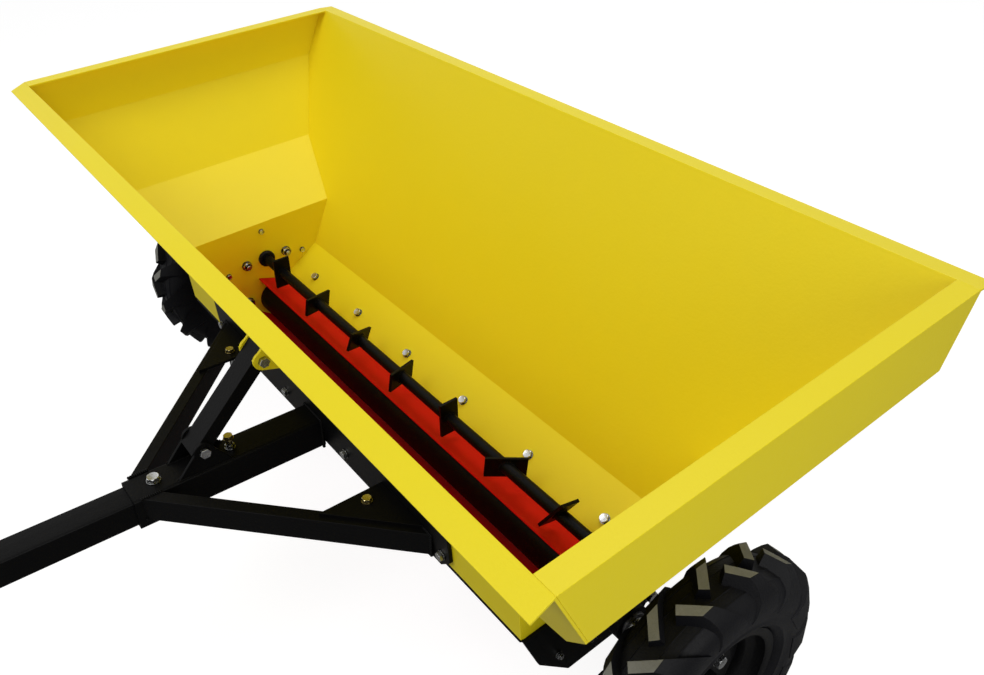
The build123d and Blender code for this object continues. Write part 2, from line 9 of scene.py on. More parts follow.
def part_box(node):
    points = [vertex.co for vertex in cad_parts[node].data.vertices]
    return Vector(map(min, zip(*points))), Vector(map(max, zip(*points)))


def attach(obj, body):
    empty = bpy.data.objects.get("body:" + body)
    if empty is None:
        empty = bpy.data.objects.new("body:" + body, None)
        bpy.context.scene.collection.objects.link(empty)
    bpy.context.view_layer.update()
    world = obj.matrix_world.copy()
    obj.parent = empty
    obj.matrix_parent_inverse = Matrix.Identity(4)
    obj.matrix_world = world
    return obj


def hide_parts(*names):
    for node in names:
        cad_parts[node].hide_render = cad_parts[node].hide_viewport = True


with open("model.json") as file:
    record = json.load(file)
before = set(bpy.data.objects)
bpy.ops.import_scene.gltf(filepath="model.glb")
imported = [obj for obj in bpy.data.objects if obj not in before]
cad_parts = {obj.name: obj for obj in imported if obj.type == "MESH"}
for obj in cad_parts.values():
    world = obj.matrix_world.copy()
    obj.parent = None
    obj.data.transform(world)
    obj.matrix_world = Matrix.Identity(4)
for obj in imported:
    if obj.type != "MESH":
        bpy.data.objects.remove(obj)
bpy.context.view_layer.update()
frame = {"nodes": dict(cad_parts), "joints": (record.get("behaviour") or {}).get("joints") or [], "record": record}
random.seed(7)
scene = bpy.context.scene
scene.view_settings.view_transform = "Standard"
selectPoints, selectFaces = (True, False, False), (False, False, True)
scene.tool_settings.mesh_select_mode = selectFaces
cadNodes = frame["nodes"]
bodyOf = {node: body for body, names in frame["record"]["behaviour"]["bodies"].items() for node in names}
slotOf = {part["node"]: part["material_slot"] for part in frame["record"]["subparts"]}
jointPlace = {joint["name"]: Vector(joint["pos_m"]) for joint in frame["joints"]}
axleY, axleZ = jointPlace["axle_spin"].yz
shaftZ = jointPlace["agitator_spin"].z
mm = 0.001
print("frame loaded:", len(cadNodes), "nodes")

# The survey counts millimetres from the middle of the hopper's opening, back and up
surveyZero = {"behindAxle": 18, "aboveAxle": 498}
hopperY = axleY + surveyZero["behindAxle"] * mm
rimZ = axleZ + surveyZero["aboveAxle"] * mm
drawbarLine = {"back": -187, "up": -386, "rise": 4, "sleeve": 55}
barRise = math.radians(drawbarLine["rise"])
barForward = Vector((0, -math.cos(barRise), math.sin(barRise)))
barUp = Vector((0, math.sin(barRise), math.cos(barRise)))
upwards = Vector((0, 0, 1))


def survey(across, back, up):
    return Vector((across * mm, hopperY + back * mm, rimZ + up * mm))


def alongBar(forward, up=0, across=0):
    start = survey(across, drawbarLine["back"], drawbarLine["up"])
    return start + barForward * forward * mm + barUp * up * mm


# Modelling helpers
def selectOnly(*pieces):
    bpy.ops.object.select_all(action="DESELECT")
    for piece in pieces:
        piece.select_set(True)
    bpy.context.view_layer.objects.active = pieces[0]


def settle(piece):
    bpy.context.view_layer.update()
    piece.data.transform(piece.matrix_world)
    piece.matrix_world = Matrix.Identity(4)
    return piece


def pickFaces(piece, wanted):  # leaves the piece in edit mode with those faces selected
    selectOnly(piece)
    for part in (piece.data.vertices, piece.data.edges, piece.data.polygons):
        part.foreach_set("select", [False] * len(part))
    for face in piece.data.polygons:
        face.select = wanted(face)
    bpy.ops.object.mode_set(mode="EDIT")


def leaveEdit():
    bpy.ops.object.mode_set(mode="OBJECT")


def topOf(face):
    return face.normal.z > 0.9


def shave(piece, point, normal):  # cuts off what lies past a plane and closes the cut
    selectOnly(piece)
    bpy.ops.object.mode_set(mode="EDIT")
    bpy.ops.mesh.select_all(action="SELECT")
    bpy.ops.mesh.bisect(plane_co=point, plane_no=normal, use_fill=True, clear_outer=True)
    leaveEdit()


def faceOutwards(piece):
    selectOnly(piece)
    bpy.ops.object.mode_set(mode="EDIT")
    bpy.ops.mesh.select_all(action="SELECT")
    bpy.ops.mesh.remove_doubles(threshold=0.00001)
    bpy.ops.mesh.normals_make_consistent(inside=False)
    leaveEdit()


def smoothShade(piece, angle=32):
    selectOnly(piece)
    bpy.ops.object.shade_smooth_by_angle(angle=math.radians(angle))


def roundEdges(piece, width, segments=2, angle=35):  # flat faces stay flat to the eye, the rounding is smooth
    smoothShade(piece, angle)
    rounding = piece.modifiers.new("rounding", "BEVEL")
    rounding.width = width * mm
    rounding.segments = segments
    rounding.limit_method = "ANGLE"
    rounding.angle_limit = math.radians(angle)
    rounding.harden_normals = True
    bpy.ops.object.modifier_apply(modifier=rounding.name)


def roundBar(radius, depth, place, sides=32, turn=(0, 0, 0)):
    bpy.ops.object.select_all(action="DESELECT")
    bpy.ops.mesh.primitive_cylinder_add(vertices=sides, radius=radius * mm, depth=depth * mm, rotation=turn,
                                        location=Vector(place) * mm)
    return settle(bpy.context.object)


def joinPieces(name, pieces):
    selectOnly(*pieces)
    if len(pieces) > 1:
        bpy.ops.object.join()
    joined = bpy.context.object
    joined.name = name
    joined.data.name = name
    return joined


def turnedPiece(name, outline, centre, steps):  # outline: along X from the centre, and radius
    scene.tool_settings.mesh_select_mode = selectPoints
    bpy.ops.object.select_all(action="DESELECT")
    bpy.ops.mesh.primitive_plane_add(size=1)
    piece = bpy.context.object
    bpy.ops.object.mode_set(mode="EDIT")
    bpy.ops.mesh.select_all(action="SELECT")
    bpy.ops.mesh.merge(type="CENTER")
    start = centre + Vector((outline[0][0] * mm, 0, outline[0][1] * mm))
    bpy.ops.transform.translate(value=start)
    for (x0, r0), (x1, r1) in zip(outline, outline[1:]):
        step = ((x1 - x0) * mm, 0, (r1 - r0) * mm)
        bpy.ops.mesh.extrude_vertices_move(TRANSFORM_OT_translate={"value": step})
    bpy.ops.mesh.select_all(action="SELECT")
    bpy.ops.mesh.spin(steps=steps, angle=math.tau, center=centre, axis=(1, 0, 0))
    leaveEdit()
    scene.tool_settings.mesh_select_mode = selectFaces
    faceOutwards(piece)
    piece.name = name
    return piece


def copyTo(model, matrix):
    copy = model.copy()
    copy.data = model.data.copy()
    scene.collection.objects.link(copy)
    copy.data.transform(matrix)
    return copy


def standOn(place, way, turn=0.0):
    facing = way.to_track_quat("Z", "Y").to_matrix().to_4x4()
    return Matrix.Translation(place) @ facing @ Matrix.Rotation(turn, 4, "Z")


shown = dict(cadNodes)  # what stands for each CAD node in the picture


def seatOn(node, start, way):  # where a ray from start first meets a node, and the face's normal there
    hit, place, normal, _ = shown[node].ray_cast(start, way)
    if not hit:
        raise RuntimeError("nothing to seat on: %s from %s" % (node, tuple(start)))
    return place, normal


def finishPiece(piece, body, slot, *materials):
    piece.data.materials.clear()
    for material in materials:
        piece.data.materials.append(material)
    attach(piece, body)
    return piece


# Shader groups that more than one finish uses
def newGroup(name, inputs, outputs):
    group = bpy.data.node_groups.new(name, "ShaderNodeTree")
    for socketName, kind, value in inputs:
        socket = group.interface.new_socket(socketName, in_out="INPUT", socket_type=kind)
        if value is not None:
            socket.default_value = value
    for socketName, kind in outputs:
        group.interface.new_socket(socketName, in_out="OUTPUT", socket_type=kind)
    return group, group.nodes.new("NodeGroupInput"), group.nodes.new("NodeGroupOutput")


def addNode(tree, kind, **settings):
    node = tree.nodes.new(kind)
    for key, value in settings.items():
        if key in node.inputs:
            node.inputs[key].default_value = value
        else:
            setattr(node, key, value)
    return node


def addMath(tree, operation, first, second, clamp=False):
    node = addNode(tree, "ShaderNodeMath", operation=operation, use_clamp=clamp)
    for socket, value in zip(node.inputs, (first, second)):
        if isinstance(value, (int, float)):
            socket.default_value = value
        else:
            tree.links.new(value, socket)
    return node.outputs[0]


def addMix(tree, factor, first, second):
    node = addNode(tree, "ShaderNodeMix", data_type="RGBA")
    for socket, value in ((node.inputs[0], factor), (node.inputs[6], first), (node.inputs[7], second)):
        if isinstance(value, (int, float)):
            socket.default_value = value
        elif isinstance(value, tuple):
            socket.default_value = (*value, 1)
        else:
            tree.links.new(value, socket)
    return node.outputs[2]


def makeCoatPeel():  # the orange peel of a powder coat, with a faint drift of its tone
    group, inside, outside = newGroup(
        "coatPeel",
        [("Vector", "NodeSocketVector", None), ("Grain", "NodeSocketFloat", 220.0),
         ("Drift", "NodeSocketFloat", 2.2)],
        [("Height", "NodeSocketFloat"), ("Tone", "NodeSocketFloat")],
    )
    peel = addNode(group, "ShaderNodeTexNoise", Detail=1.0, Roughness=0.45)
    fine = addNode(group, "ShaderNodeTexNoise", Detail=0.0)
    drift = addNode(group, "ShaderNodeTexNoise", Detail=2.0)
    for texture in (peel, fine, drift):
        group.links.new(inside.outputs["Vector"], texture.inputs["Vector"])
    group.links.new(inside.outputs["Grain"], peel.inputs["Scale"])
    group.links.new(addMath(group, "MULTIPLY", inside.outputs["Grain"], 2.6), fine.inputs["Scale"])
    group.links.new(inside.outputs["Drift"], drift.inputs["Scale"])
    height = addMath(group, "ADD", peel.outputs[0], addMath(group, "MULTIPLY", fine.outputs[0], 0.3))
    group.links.new(height, outside.inputs["Height"])
    group.links.new(drift.outputs[0], outside.inputs["Tone"])
    return group


def makeRoadDust():  # pale dust that lies on faces turned up, in patches
    group, inside, outside = newGroup(
        "roadDust",
        [("Vector", "NodeSocketVector", None), ("Patch", "NodeSocketFloat", 14.0),
         ("Amount", "NodeSocketFloat", 0.3)],
        [("Mask", "NodeSocketFloat")],
    )
    clouds = addNode(group, "ShaderNodeTexNoise", Detail=4.0, Roughness=0.65)
    specks = addNode(group, "ShaderNodeTexNoise", Scale=420.0, Detail=1.0)
    group.links.new(inside.outputs["Vector"], clouds.inputs["Vector"])
    group.links.new(inside.outputs["Vector"], specks.inputs["Vector"])
    group.links.new(inside.outputs["Patch"], clouds.inputs["Scale"])
    surface = addNode(group, "ShaderNodeNewGeometry")
    split = addNode(group, "ShaderNodeSeparateXYZ")
    group.links.new(surface.outputs["Normal"], split.inputs[0])
    lying = addMath(group, "ADD", addMath(group, "MULTIPLY", split.outputs["Z"], 0.5, True), 0.35)
    cloudy = addMath(group, "MULTIPLY", addMath(group, "SUBTRACT", clouds.outputs[0], 0.38), 3.0, True)
    speckled = addMath(group, "MULTIPLY", specks.outputs[0], 1.5, True)
    mask = addMath(group, "MULTIPLY", addMath(group, "MULTIPLY", cloudy, speckled), lying, True)
    group.links.new(addMath(group, "MULTIPLY", mask, inside.outputs["Amount"], True), outside.inputs["Mask"])
    return group


coatPeel = makeCoatPeel()
roadDust = makeRoadDust()


def placeGroup(tree, group, vector, **values):
    node = tree.nodes.new("ShaderNodeGroup")
    node.node_tree = group
    tree.links.new(vector, node.inputs["Vector"])
    for key, value in values.items():
        node.inputs[key].default_value = value
    return node


def newMaterial(name, **shaderValues):
    material = bpy.data.materials.new(name)
    material.use_nodes = True
    tree = material.node_tree
    tree.nodes.clear()
    output = tree.nodes.new("ShaderNodeOutputMaterial")
    shader = addNode(tree, "ShaderNodeBsdfPrincipled")
    for key, value in shaderValues.items():
        shader.inputs[key].default_value = value
    tree.links.new(shader.outputs[0], output.inputs[0])
    where = tree.nodes.new("ShaderNodeTexCoord").outputs["Object"]
    return material, tree, shader, where


def addBump(tree, shader, height, distance, strength):
    bump = addNode(tree, "ShaderNodeBump", Distance=distance, Strength=strength)
    tree.links.new(height, bump.inputs["Height"])
    tree.links.new(bump.outputs[0], shader.inputs["Normal"])


def makePaint(name, look):
    material, tree, shader, where = newMaterial(name, **{
        "Coat Weight": look["gloss"], "Coat Roughness": look["glossRoughness"],
        "Specular IOR Level": look["specular"]})
    peel = placeGroup(tree, coatPeel, where, Grain=look["grain"], Drift=2.2)
    dust = placeGroup(tree, roadDust, where, Patch=look["patch"], Amount=look["dust"])
    toned = addMix(tree, peel.outputs["Tone"], look["shade"], look["color"])
    dusty = addMix(tree, dust.outputs["Mask"], toned, look["dustColor"])
    tree.links.new(dusty, shader.inputs["Base Color"])
    drift = addMath(tree, "MULTIPLY", peel.outputs["Tone"], 0.12)
    dulled = addMath(tree, "MULTIPLY", dust.outputs["Mask"], 0.4)
    roughness = addMath(tree, "ADD", addMath(tree, "ADD", look["roughness"] - 0.06, drift), dulled, True)
    tree.links.new(roughness, shader.inputs["Roughness"])
    addBump(tree, shader, peel.outputs["Height"], look["relief"], 0.6)
    return material


paintLooks = {
    "yellowCoat": {"color": (0.90, 0.745, 0.012), "shade": (0.87, 0.71, 0.010), "roughness": 0.46, "specular": 0.2,
                   "gloss": 0.06, "glossRoughness": 0.3, "grain": 240.0, "patch": 9.0, "dust": 0.02,
                   "dustColor": (0.50, 0.44, 0.24), "relief": 0.0003},
    "redCoat": {"color": (0.66, 0.012, 0.005), "shade": (0.60, 0.008, 0.004), "roughness": 0.55, "specular": 0.05,
                "gloss": 0.0, "glossRoughness": 0.3, "grain": 240.0, "patch": 20.0, "dust": 0.04,
                "dustColor": (0.3, 0.12, 0.08), "relief": 0.0003},
    # a brighter red than redCoat: painted light for the floor plate deep in the trough
    "floorCoat": {"color": (0.90, 0.010, 0.006), "shade": (0.84, 0.007, 0.005), "roughness": 0.6, "specular": 0.02,
                  "gloss": 0.0, "glossRoughness": 0.3, "grain": 240.0, "patch": 20.0, "dust": 0.02,
                  "dustColor": (0.4, 0.08, 0.05), "relief": 0.0003},
    "blackCoat": {"color": (0.0030, 0.0030, 0.0032), "shade": (0.0018, 0.0018, 0.0020), "roughness": 0.40,
                  "specular": 0.07, "gloss": 0.0, "glossRoughness": 0.3, "grain": 320.0, "patch": 12.0,
                  "dust": 0.05, "dustColor": (0.03, 0.028, 0.026), "relief": 0.0004},
    "wheelCoat": {"color": (0.004, 0.004, 0.0045), "shade": (0.0025, 0.0025, 0.0028), "roughness": 0.45,
                  "specular": 0.1, "gloss": 0.0, "glossRoughness": 0.35, "grain": 260.0, "patch": 18.0,
                  "dust": 0.2, "dustColor": (0.04, 0.038, 0.034), "relief": 0.0004},
    "castCoat": {"color": (0.005, 0.005, 0.0055), "shade": (0.003, 0.003, 0.003), "roughness": 0.5,
                 "specular": 0.1, "gloss": 0.0, "glossRoughness": 0.4, "grain": 650.0, "patch": 25.0,
                 "dust": 0.1, "dustColor": (0.04, 0.038, 0.034), "relief": 0.0010},
}
finishes = {name: makePaint(name, look) for name, look in paintLooks.items()}


def makePlating(name, look):  # bright plated steel with rolled grain, dull patches, and painted shade that darkens its crevices
    material, tree, shader, where = newMaterial(name, **{"Specular IOR Level": 0.5})
    peel = placeGroup(tree, coatPeel, where, Grain=900.0, Drift=60.0)
    dust = placeGroup(tree, roadDust, where, Patch=60.0, Amount=look["dust"])
    toned = addMix(tree, peel.outputs["Tone"], look["shade"], look["color"])
    dusty = addMix(tree, dust.outputs["Mask"], toned, look["dustColor"])
    # painted shade: an ambient occlusion mask pulls the colour towards the dark crevice colour in corners and between
    # parts
    creviceOcclusion = addNode(tree, "ShaderNodeAmbientOcclusion", samples=4, Distance=0.009)
    unshadedShare = addMath(tree, "MULTIPLY", addMath(tree, "SUBTRACT", creviceOcclusion.outputs["AO"], 0.5), 2.4, True)
    tree.links.new(addMix(tree, unshadedShare, look["crevice"], dusty), shader.inputs["Base Color"])
    shine = addMath(tree, "SUBTRACT", 1.0, addMath(tree, "MULTIPLY", dust.outputs["Mask"], 0.8), True)
    tree.links.new(shine, shader.inputs["Metallic"])
    roughness = addMath(tree, "ADD", look["roughness"] - 0.1, addMath(tree, "MULTIPLY", peel.outputs["Tone"], 0.2))
    tree.links.new(roughness, shader.inputs["Roughness"])
    addBump(tree, shader, peel.outputs["Height"], 0.0003, 0.4)
    return material


# crevice is the colour of the painted shade in crevices and between parts
platingLooks = {
    "whiteZinc": {"color": (0.76, 0.77, 0.78), "shade": (0.30, 0.31, 0.32), "roughness": 0.24, "dust": 0.08,
                  "dustColor": (0.3, 0.28, 0.24), "crevice": (0.03, 0.028, 0.02)},
    "yellowZinc": {"color": (0.82, 0.72, 0.40), "shade": (0.36, 0.29, 0.12), "roughness": 0.25, "dust": 0.08,
                   "dustColor": (0.35, 0.3, 0.2), "crevice": (0.03, 0.024, 0.012)},
    "darkSteel": {"color": (0.2, 0.2, 0.21), "shade": (0.12, 0.12, 0.125), "roughness": 0.38, "dust": 0.15,
                  "dustColor": (0.16, 0.15, 0.13), "crevice": (0.01, 0.01, 0.01)},
}
finishes.update({name: makePlating(name, look) for name, look in platingLooks.items()})


def makeRubber(name, look):
    material, tree, shader, where = newMaterial(name, **{"Specular IOR Level": 0.12})
    grain = placeGroup(tree, coatPeel, where, Grain=look["grain"], Drift=16.0)
    dust = placeGroup(tree, roadDust, where, Patch=look["patch"], Amount=look["dust"])
    toned = addMix(tree, grain.outputs["Tone"], look["shade"], look["color"])
    tree.links.new(addMix(tree, dust.outputs["Mask"], toned, look["dustColor"]), shader.inputs["Base Color"])
    roughness = addMath(tree, "ADD", look["roughness"] - 0.1, addMath(tree, "MULTIPLY", grain.outputs["Tone"], 0.2))
    tree.links.new(roughness, shader.inputs["Roughness"])
    addBump(tree, shader, grain.outputs["Height"], look["relief"], 0.7)
    return material


rubberLooks = {
    # the bluish tint in the tyre rubber's colour is a painted sheen
    "tyreRubber": {"color": (0.0045, 0.0047, 0.0062), "shade": (0.003, 0.003, 0.0042), "roughness": 0.5,
                   "grain": 380.0, "patch": 22.0, "dust": 0.1, "dustColor": (0.045, 0.043, 0.04),
                   "relief": 0.0005},
    "wornRubber": {"color": (0.27, 0.27, 0.245), "shade": (0.17, 0.17, 0.155), "roughness": 0.85, "grain": 300.0,
                   "patch": 45.0, "dust": 0.4, "dustColor": (0.40, 0.39, 0.36), "relief": 0.0008},
}
finishes.update({name: makeRubber(name, look) for name, look in rubberLooks.items()})
print("finishes made:", len(finishes))

# CAD nodes keep their shapes and take a finish by slot
slotFinish = {"yellow_paint": "yellowCoat", "red_paint": "redCoat", "black_paint": "blackCoat",
              "rim_paint": "wheelCoat", "bearing_iron": "castCoat", "plated_steel": "whiteZinc",
              "tyre_rubber": "tyreRubber"}
for nodeName, node in cadNodes.items():
    node.data.materials.clear()
    node.data.materials.append(finishes[slotFinish[slotOf[nodeName]]])
cadNodes["floor_plate"].data.materials[0] = finishes["floorCoat"]  # less dust than the lip, and a brighter red that is painted light for the trough floor, which the lamps barely reach

# Sheets, tubes and castings: a copy of each CAD node with its edges rounded
roundedNodes = [  # millimetres of rounding, the sharpest fold that shades as a curve, in degrees, and the nodes
    (0.6, 12, ["hopper_front", "hopper_rear", "hopper_end_left", "hopper_end_right", "floor_plate", "lip_plate",
               "agitator_paddles"]),
    (0.9, 20, ["hopper_ears", "sleeve_cheeks", "front_rail", "cross_member", "gusset_left", "gusset_right",
               "side_carrier_left", "side_carrier_right", "strut_pins", "axle", "chain_cover"]),
    (1.3, 25, ["drawbar_sleeve", "drawbar", "coupler", "leg_clamp", "parking_leg", "roller", "hub_left",
               "hub_right"]),
    (1.0, 25, ["brace_left", "brace_right", "strut"]),
    (1.8, 25, ["axle_bearing_left", "axle_bearing_right", "agitator_bearing_left", "agitator_bearing_right"]),
]


def roundNode(nodeName, width, fold):
    words = nodeName.split("_")
    name = words[0] + "".join(word.capitalize() for word in words[1:]) + "Rounded"
    piece = bpy.data.objects.new(name, cadNodes[nodeName].data.copy())
    scene.collection.objects.link(piece)
    faceOutwards(piece)
    selectOnly(piece)
    bpy.ops.object.mode_set(mode="EDIT")
    bpy.ops.mesh.select_all(action="SELECT")
    bpy.ops.mesh.dissolve_limited(angle_limit=math.radians(1))
    leaveEdit()
    roundEdges(piece, width, angle=fold)
    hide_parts(nodeName)
    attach(piece, bodyOf[nodeName])
    shown[nodeName] = piece
    return piece


for width, fold, nodeNames in roundedNodes:
    for nodeName in nodeNames:
        roundNode(nodeName, width, fold)
bpy.context.view_layer.update()
print("edges rounded on", sum(len(row[2]) for row in roundedNodes), "nodes")

# Tyres: a turned carcass and slanted bars with worn, dusty tops
tyreSizes = {
    "radius": 202, "lugs": 15, "lugWidth": 12.8, "rootWidth": 19, "lugHeight": 60, "slant": 43, "firstLug": 15.6,
    "lugMiddle": 23, "lugOverlap": 3, "rootSpread": 1.9, "crown": 4.5, "crownTo": 40, "wornFacing": 0.985,
    "wornAbove": 190, "steps": 120,
    "carcass": [(31.8, 102), (31.8, 112.5), (34, 114.4), (38.5, 117), (40.2, 121), (42.6, 123.4), (42.8, 126.2),
                (42.0, 128), (43.6, 136), (44.4, 146), (43.4, 157), (41, 166), (36.8, 173.4), (31.2, 178.6),
                (27.8, 180.8), (27.4, 181.8), (26.6, 182.2), (26.2, 181.4), (20, 183.6), (13.8, 184.9),
                (13.4, 185.8), (12.6, 186), (12.2, 185.1), (0, 185.9)],
    "worn": [(0, 201.4), (24, 200), (31, 193.2), (38, 183.2), (43.8, 170), (45.9, 152), (44, 130)],
}


def modelLug(sizes):  # a bar at the top of the wheel, on its left half, about the wheel's own centre
    slant = math.radians(sizes["slant"])
    reach = (sizes["lugMiddle"] + sizes["lugOverlap"]) / math.cos(slant)
    length = 2 * reach + 24
    bpy.ops.object.select_all(action="DESELECT")
    root = sizes["rootWidth"] * mm * sizes["rootSpread"]
    bpy.ops.mesh.primitive_cube_add(size=1, scale=(length * mm, root, sizes["lugHeight"] * mm))
    lug = settle(bpy.context.object)
    pickFaces(lug, topOf)
    narrow = sizes["lugWidth"] / (sizes["rootWidth"] * sizes["rootSpread"])
    bpy.ops.transform.resize(value=(1, narrow, 1), center_override=(0, 0, 0))
    leaveEdit()
    middle = Vector((length / 2 - reach, 0, sizes["radius"] - sizes["lugHeight"] / 2 + 0.01)) * mm
    lug.data.transform(Matrix.Translation((sizes["lugMiddle"] * mm, 0, 0)) @ Matrix.Rotation(slant, 4, "Z")
                       @ Matrix.Translation(middle))
    for (x0, r0), (x1, r1) in zip(sizes["worn"], sizes["worn"][1:]):
        away = Vector((r0 - r1, 0, x1 - x0)).normalized()
        tilts = (-sizes["crown"], 0, sizes["crown"]) if x1 < sizes["crownTo"] else (0,)
        for tilt in tilts:
            roll = Matrix.Rotation(math.radians(tilt), 4, "X")
            shave(lug, roll @ (Vector((x1, 0, r1)) * mm), roll @ away)
    roundEdges(lug, 1.0)
    smoothShade(lug, 40)
    return lug


def modelTyre(name, side):
    half = tyreSizes["carcass"]
    outline = [(-x, r) for x, r in half] + half[-2::-1]
    outline.append(outline[0])
    middle = (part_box("tyre_left")[0].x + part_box("tyre_left")[1].x) / 2
    centre = Vector((middle, axleY, axleZ))
    carcass = turnedPiece(name, outline, centre, tyreSizes["steps"])
    smoothShade(carcass, 38)
    carcass.data.materials.append(finishes["tyreRubber"])
    carcass.data.materials.append(finishes["wornRubber"])
    lug = modelLug(tyreSizes)
    for finish in ("tyreRubber", "wornRubber"):
        lug.data.materials.append(finishes[finish])
    for face in lug.data.polygons:
        worn = face.normal.z > tyreSizes["wornFacing"] and face.center.z > tyreSizes["wornAbove"] * mm
        face.material_index = 1 if worn else 0
    pieces = [carcass]
    pitch = 360 / tyreSizes["lugs"]
    for mirrored, first in ((1, 0), (-1, 0.5)):
        for step in range(tyreSizes["lugs"]):
            turn = math.radians(-tyreSizes["firstLug"] - (first + step) * pitch)
            bar = copyTo(lug, Matrix.Translation(centre) @ Matrix.Rotation(turn, 4, "X")
                         @ Matrix.Diagonal((mirrored, 1, 1, 1)))
            if mirrored < 0:
                bar.data.flip_normals()
            pieces.append(bar)
    bpy.data.objects.remove(lug)
    tyre = joinPieces(name, pieces)
    if side < 0:
        tyre.data.transform(Matrix.Diagonal((-1, 1, 1, 1)))
        tyre.data.flip_normals()
    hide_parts("tyre_left" if side > 0 else "tyre_right")
    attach(tyre, "drive_axle" if side > 0 else "wheel_right")
    return tyre


modelTyre("tyreLeft", 1)
modelTyre("tyreRight", -1)
print("tyres modelled")

# Rims: a drop-centre barrel with curled flanges and a dished disc, as (outward from the tyre's middle, radius)
rimSizes = {
    "steps": 96,
    "barrel": [(-35, 112.2), (-33.2, 112.4), (-32.2, 110.8), (-32, 103.4), (-31, 101.8), (-22, 101.2), (-18.5, 99),
               (-14, 88), (-11, 86), (6, 86), (9, 88), (14, 98.6), (18, 101.2), (31, 101.8), (32, 103.4),
               (32.2, 110.8), (33.2, 112.4), (35, 112.2), (35, 111), (34.6, 102), (32.4, 98.9), (18.8, 98.3),
               (16.2, 96.4), (11.2, 85.4), (7.4, 83.2), (-12.4, 83.2), (-16.2, 85.6), (-20.6, 96.6),
               (-23.4, 98.4), (-32.4, 98.9), (-34.6, 102), (-35, 111)],
    "disc": [(5, 26.2), (5, 58), (3.6, 61), (-1.6, 73), (-3.2, 79), (-3.2, 83.4), (-0.2, 83.4), (0, 79.6),
             (1.5, 74.2), (6.6, 62.4), (8, 59), (8, 26.2)],
    "valve": {"out": 24, "radius": 88, "turn": 200, "length": 22},
}
wheelMiddle = (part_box("tyre_left")[0].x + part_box("tyre_left")[1].x) / 2
rimBody = {1: "drive_axle", -1: "wheel_right"}


def modelRim(name, side):
    centre = Vector((side * wheelMiddle, axleY, axleZ))
    shells = []
    for part in ("barrel", "disc"):
        outline = [(side * x, radius) for x, radius in rimSizes[part]]
        shells.append(turnedPiece(name + part.capitalize(), outline + outline[:1], centre, rimSizes["steps"]))
    rim = joinPieces(name, shells)
    smoothShade(rim, 34)
    finishPiece(rim, rimBody[side], "rim_paint", finishes["wheelCoat"])
    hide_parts("rim_left" if side > 0 else "rim_right")
    valve = rimSizes["valve"]
    lean = math.radians(valve["turn"])
    out = Vector((0, math.cos(lean), math.sin(lean)))
    place = centre + out * valve["radius"] * mm + Vector((side * valve["out"] * mm, 0, 0))
    stem = joinPieces(name + "Valve", [
        roundBar(5.2, 8, (0, 0, -valve["length"] * 0.35), 24), roundBar(3.6, valve["length"], (0, 0, 0), 24),
        roundBar(4.3, 6, (0, 0, valve["length"] * 0.42), 10)])
    roundEdges(stem, 0.4, 1)
    stem.data.transform(standOn(place, Vector((side, 0, 0)) - out * 0.25))
    finishPiece(stem, rimBody[side], "tyre_rubber", finishes["tyreRubber"])


modelRim("rimLeft", 1)
modelRim("rimRight", -1)
print("rims modelled")


# Fasteners: each is modelled once, standing on z = 0, and copied to its seats
def chamferHex(piece, across, top):
    for corner in range(6):
        turn = math.radians(30 + 60 * corner)
        out = Vector((math.cos(turn), math.sin(turn), 0))
        shave(piece, (out * across * 0.485 + upwards * top) * mm, out * 0.5 + upwards * 0.866)


def modelHexHead(sizes):
    washer = roundBar(sizes["washer"], sizes["washerDepth"], (0, 0, sizes["washerDepth"] / 2))
    roundEdges(washer, 0.25)
    middle = sizes["washerDepth"] + sizes["head"] / 2
    head = roundBar(sizes["across"] / math.sqrt(3), sizes["head"], (0, 0, middle), 6)
    chamferHex(head, sizes["across"], sizes["washerDepth"] + sizes["head"])
    pickFaces(head, topOf)
    bpy.ops.mesh.inset(thickness=sizes["across"] * 0.09 * mm)
    bpy.ops.transform.translate(value=(0, 0, -0.25 * mm))
    leaveEdit()
    roundEdges(head, 0.2, 1)
    return joinPieces("hexHead", [head, washer])


def modelLockNut(sizes):
    washer = roundBar(sizes["washer"], sizes["washerDepth"], (0, 0, sizes["washerDepth"] / 2))
    roundEdges(washer, 0.25)
    top = sizes["washerDepth"] + sizes["head"]
    nut = roundBar(sizes["across"] / math.sqrt(3), sizes["head"], (0, 0, sizes["washerDepth"] + sizes["head"] / 2), 6)
    chamferHex(nut, sizes["across"], top)
    collar = roundBar(sizes["across"] * 0.43, 2, (0, 0, top + 0.6), 28)
    pickFaces(collar, topOf)
    bpy.ops.mesh.inset(thickness=sizes["across"] * 0.08 * mm)
    bpy.ops.transform.translate(value=(0, 0, -0.8 * mm))
    leaveEdit()
    roundEdges(collar, 0.3)
    tail = roundBar(sizes["thread"], sizes["tail"], (0, 0, top + sizes["tail"] / 2 - 0.5), 24)
    pickFaces(tail, topOf)
    bpy.ops.mesh.inset(thickness=0.8 * mm)
    bpy.ops.transform.translate(value=(0, 0, 0.7 * mm))
    leaveEdit()
    return joinPieces("lockNut", [nut, washer, collar, tail])


fastenerSizes = {
    "large": {"across": 17, "head": 7, "washer": 10.5, "washerDepth": 2, "thread": 5, "tail": 5},
    "middle": {"across": 13, "head": 5.6, "washer": 8.2, "washerDepth": 1.6, "thread": 4, "tail": 4},
    "small": {"across": 10, "head": 4.2, "washer": 6, "washerDepth": 1.2, "thread": 3, "tail": 3},
}
hexHeads = {size: modelHexHead(values) for size, values in fastenerSizes.items()}
lockNuts = {size: modelLockNut(values) for size, values in fastenerSizes.items()}


def seatFasteners(name, model, seats, body="frame", finish="whiteZinc"):
    copies = [copyTo(model, standOn(place, way, random.uniform(0, 1))) for place, way in seats]
    piece = joinPieces(name, copies)
    smoothShade(piece, 30)
    return finishPiece(piece, body, "plated_steel", finishes[finish])


